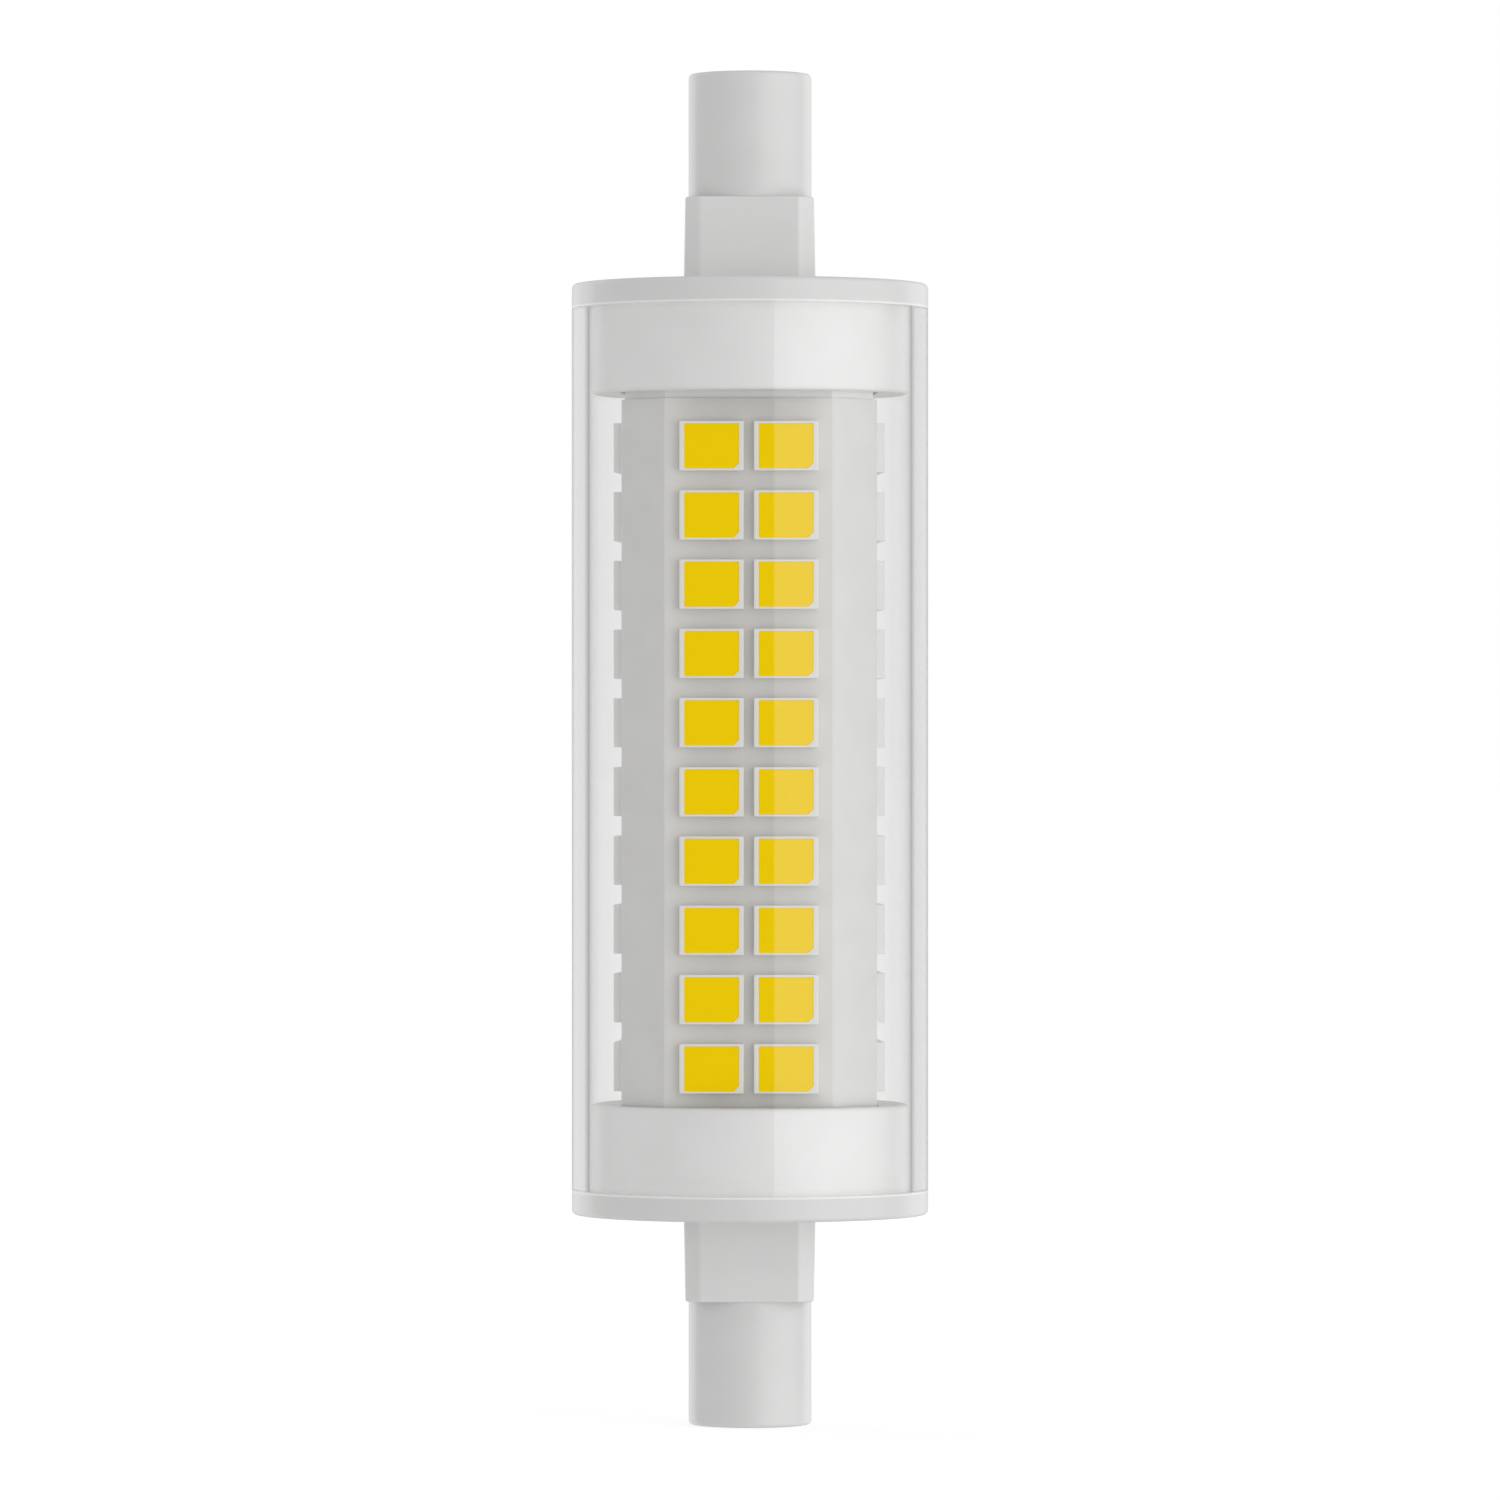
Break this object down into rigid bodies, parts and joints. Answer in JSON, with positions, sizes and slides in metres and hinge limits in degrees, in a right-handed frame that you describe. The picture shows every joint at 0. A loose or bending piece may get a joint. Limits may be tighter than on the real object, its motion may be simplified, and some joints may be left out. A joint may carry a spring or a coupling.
{
  "type": "linear led bulb",
  "caption": "Double-ended linear LED bulb: clear tube between moulded end caps with recessed contacts, LED board folded round a square carrier.",
  "frame": {"origin": "centre of the lower pin's end face, on which the bulb stands", "axes": "+Z along the bulb's axis towards the upper pin; -Y is the front of the LED carrier; +X is to the right, seen from the front"},
  "size_m": [0.0206, 0.0206, 0.078],
  "materials": {
    "cap_plastic": "white moulded plastic, satin",
    "contact_metal": "nickel-plated, satin",
    "clear_tube": "clear, polished",
    "carrier_plastic": "white moulded plastic, matte",
    "led_board": "white solder mask, satin",
    "led_housing": "white moulded plastic, satin",
    "phosphor": "yellow phosphor in clear silicone",
    "driver_board": "green solder mask",
    "tinned_wire": "tinned copper",
    "component_black": "moulded black epoxy",
    "component_ceramic": "matte ceramic",
    "capacitor_can": "shrunk sleeve over an aluminium can",
    "ferrite": "matte dark ferrite"
  },
  "bodies": {
    "root": {"lower_end_cap": "cap_plastic", "upper_end_cap": "cap_plastic", "lower_contact": "contact_metal", "upper_contact": "contact_metal", "clear_tube": "clear_tube", "carrier_tube": "carrier_plastic", "led_board": "led_board", "led_housings_front": "led_housing", "led_housings_right": "led_housing", "led_housings_rear": "led_housing", "led_housings_left": "led_housing", "led_phosphor_front": "phosphor", "led_phosphor_right": "phosphor", "led_phosphor_rear": "phosphor", "led_phosphor_left": "phosphor", "driver_board": "driver_board", "lower_lead_wire": "tinned_wire", "upper_lead_wire": "tinned_wire", "led_pin_positive": "tinned_wire", "led_pin_negative": "tinned_wire", "input_fuse": "component_ceramic", "smoothing_capacitor": "capacitor_can", "power_inductor": "ferrite", "bridge_rectifier": "component_black", "driver_chip": "component_black", "freewheel_diode": "component_black", "sense_resistors": "component_black", "output_capacitor": "component_ceramic"}
  },
  "joints": []
}
